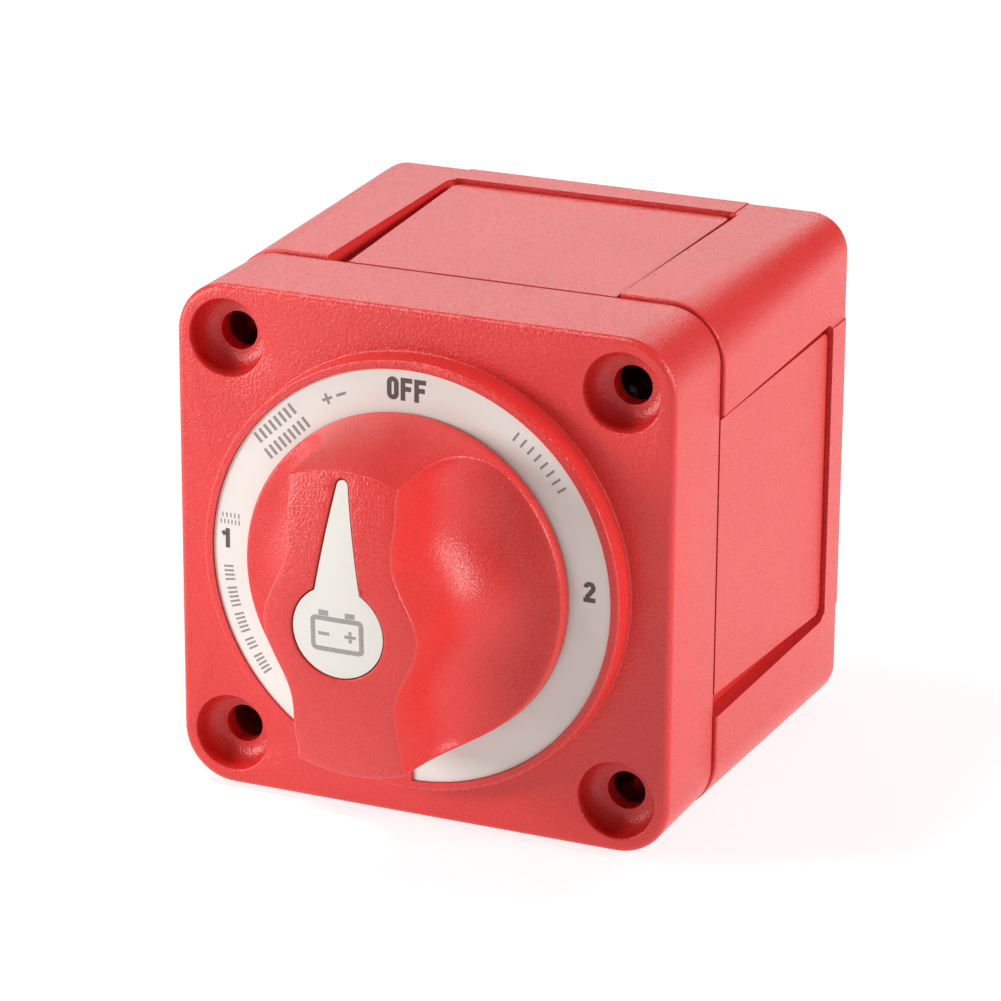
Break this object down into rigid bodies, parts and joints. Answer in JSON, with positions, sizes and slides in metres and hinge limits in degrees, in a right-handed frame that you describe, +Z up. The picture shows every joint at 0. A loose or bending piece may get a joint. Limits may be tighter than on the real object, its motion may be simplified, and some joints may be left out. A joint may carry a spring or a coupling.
{
  "type": "battery switch",
  "caption": "Square marine battery selector switch with a raised round dial, a turning grip-bar knob, threaded terminals and a square rear housing with pull-out side plates.",
  "frame": {"origin": "centre of the bezel's flat front face, on the knob's axis", "axes": "+X to the right seen from the front, +Y to the rear along the knob's axis, +Z up with the OFF mark"},
  "size_m": [0.0684, 0.0856, 0.0684],
  "materials": {
    "red_plastic": "fine spark-eroded grain",
    "label_print": "matt printed film",
    "pointer_plastic": "satin",
    "black_plastic": "matt",
    "grey_nylon": "satin",
    "copper": "rolled",
    "tinned_copper": "tin plated",
    "stainless_steel": "turned",
    "silver_contact": "coined",
    "seal_rubber": "smooth"
  },
  "bodies": {
    "case": {"front_bezel": "red_plastic", "dial_label": "label_print", "contact_base": "black_plastic", "base_gasket": "seal_rubber", "base_screws": "stainless_steel", "fixed_contact_1": "silver_contact", "fixed_contact_2": "silver_contact", "common_contact": "copper", "stud_1": "tinned_copper", "stud_2": "tinned_copper", "stud_common": "tinned_copper", "stud_orings": "seal_rubber", "jam_nuts": "tinned_copper", "flat_washers": "stainless_steel", "lock_washers": "stainless_steel", "terminal_nuts": "stainless_steel"},
    "knob": {"knob": "red_plastic", "knob_pointer": "pointer_plastic", "knob_screw": "stainless_steel", "spindle": "grey_nylon", "spindle_oring": "seal_rubber", "spindle_washer": "grey_nylon", "rotor": "grey_nylon", "blade_springs": "stainless_steel", "detent_spring_1": "stainless_steel", "detent_spring_2": "stainless_steel"},
    "contact_blade": {"contact_blade": "copper"},
    "detent_plunger_1": {"detent_plunger_1": "stainless_steel"},
    "detent_plunger_2": {"detent_plunger_2": "stainless_steel"},
    "rear_cover": {"rear_housing": "red_plastic"},
    "side_plate_top": {"side_plate_top": "red_plastic"},
    "side_plate_right": {"side_plate_right": "red_plastic"},
    "side_plate_bottom": {"side_plate_bottom": "red_plastic"},
    "side_plate_left": {"side_plate_left": "red_plastic"}
  },
  "joints": [
    {"name": "knob_turn", "type": "hinge", "parent": "case", "child": "knob", "pos_m": [0, 0, 0], "axis": [0, -1, 0], "range_deg": [-90, 90]},
    {"name": "contact_press", "type": "slide", "parent": "knob", "child": "contact_blade", "axis": [0, 1, 0], "range_m": [-0.0006, 0], "stiffness_N_per_m": 4000, "springref_m": 0.003, "deforming": ["blade_springs"]},
    {"name": "plunger_1_press", "type": "slide", "parent": "knob", "child": "detent_plunger_1", "axis": [0, -1, 0], "range_m": [0, 0.0008], "stiffness_N_per_m": 1500, "springref_m": 0.0025, "deforming": ["detent_spring_1"]},
    {"name": "plunger_2_press", "type": "slide", "parent": "knob", "child": "detent_plunger_2", "axis": [0, -1, 0], "range_m": [0, 0.0008], "stiffness_N_per_m": 1500, "springref_m": 0.0025, "deforming": ["detent_spring_2"]},
    {"name": "rear_cover_slide", "type": "slide", "parent": "case", "child": "rear_cover", "axis": [0, 1, 0], "range_m": [0, 0.06]},
    {"name": "side_plate_top_pull", "type": "slide", "parent": "rear_cover", "child": "side_plate_top", "axis": [0, 0, 1], "range_m": [0, 0.012]},
    {"name": "side_plate_right_pull", "type": "slide", "parent": "rear_cover", "child": "side_plate_right", "axis": [1, 0, 0], "range_m": [0, 0.012]},
    {"name": "side_plate_bottom_pull", "type": "slide", "parent": "rear_cover", "child": "side_plate_bottom", "axis": [0, 0, -1], "range_m": [0, 0.012]},
    {"name": "side_plate_left_pull", "type": "slide", "parent": "rear_cover", "child": "side_plate_left", "axis": [-1, 0, 0], "range_m": [0, 0.012]}
  ]
}
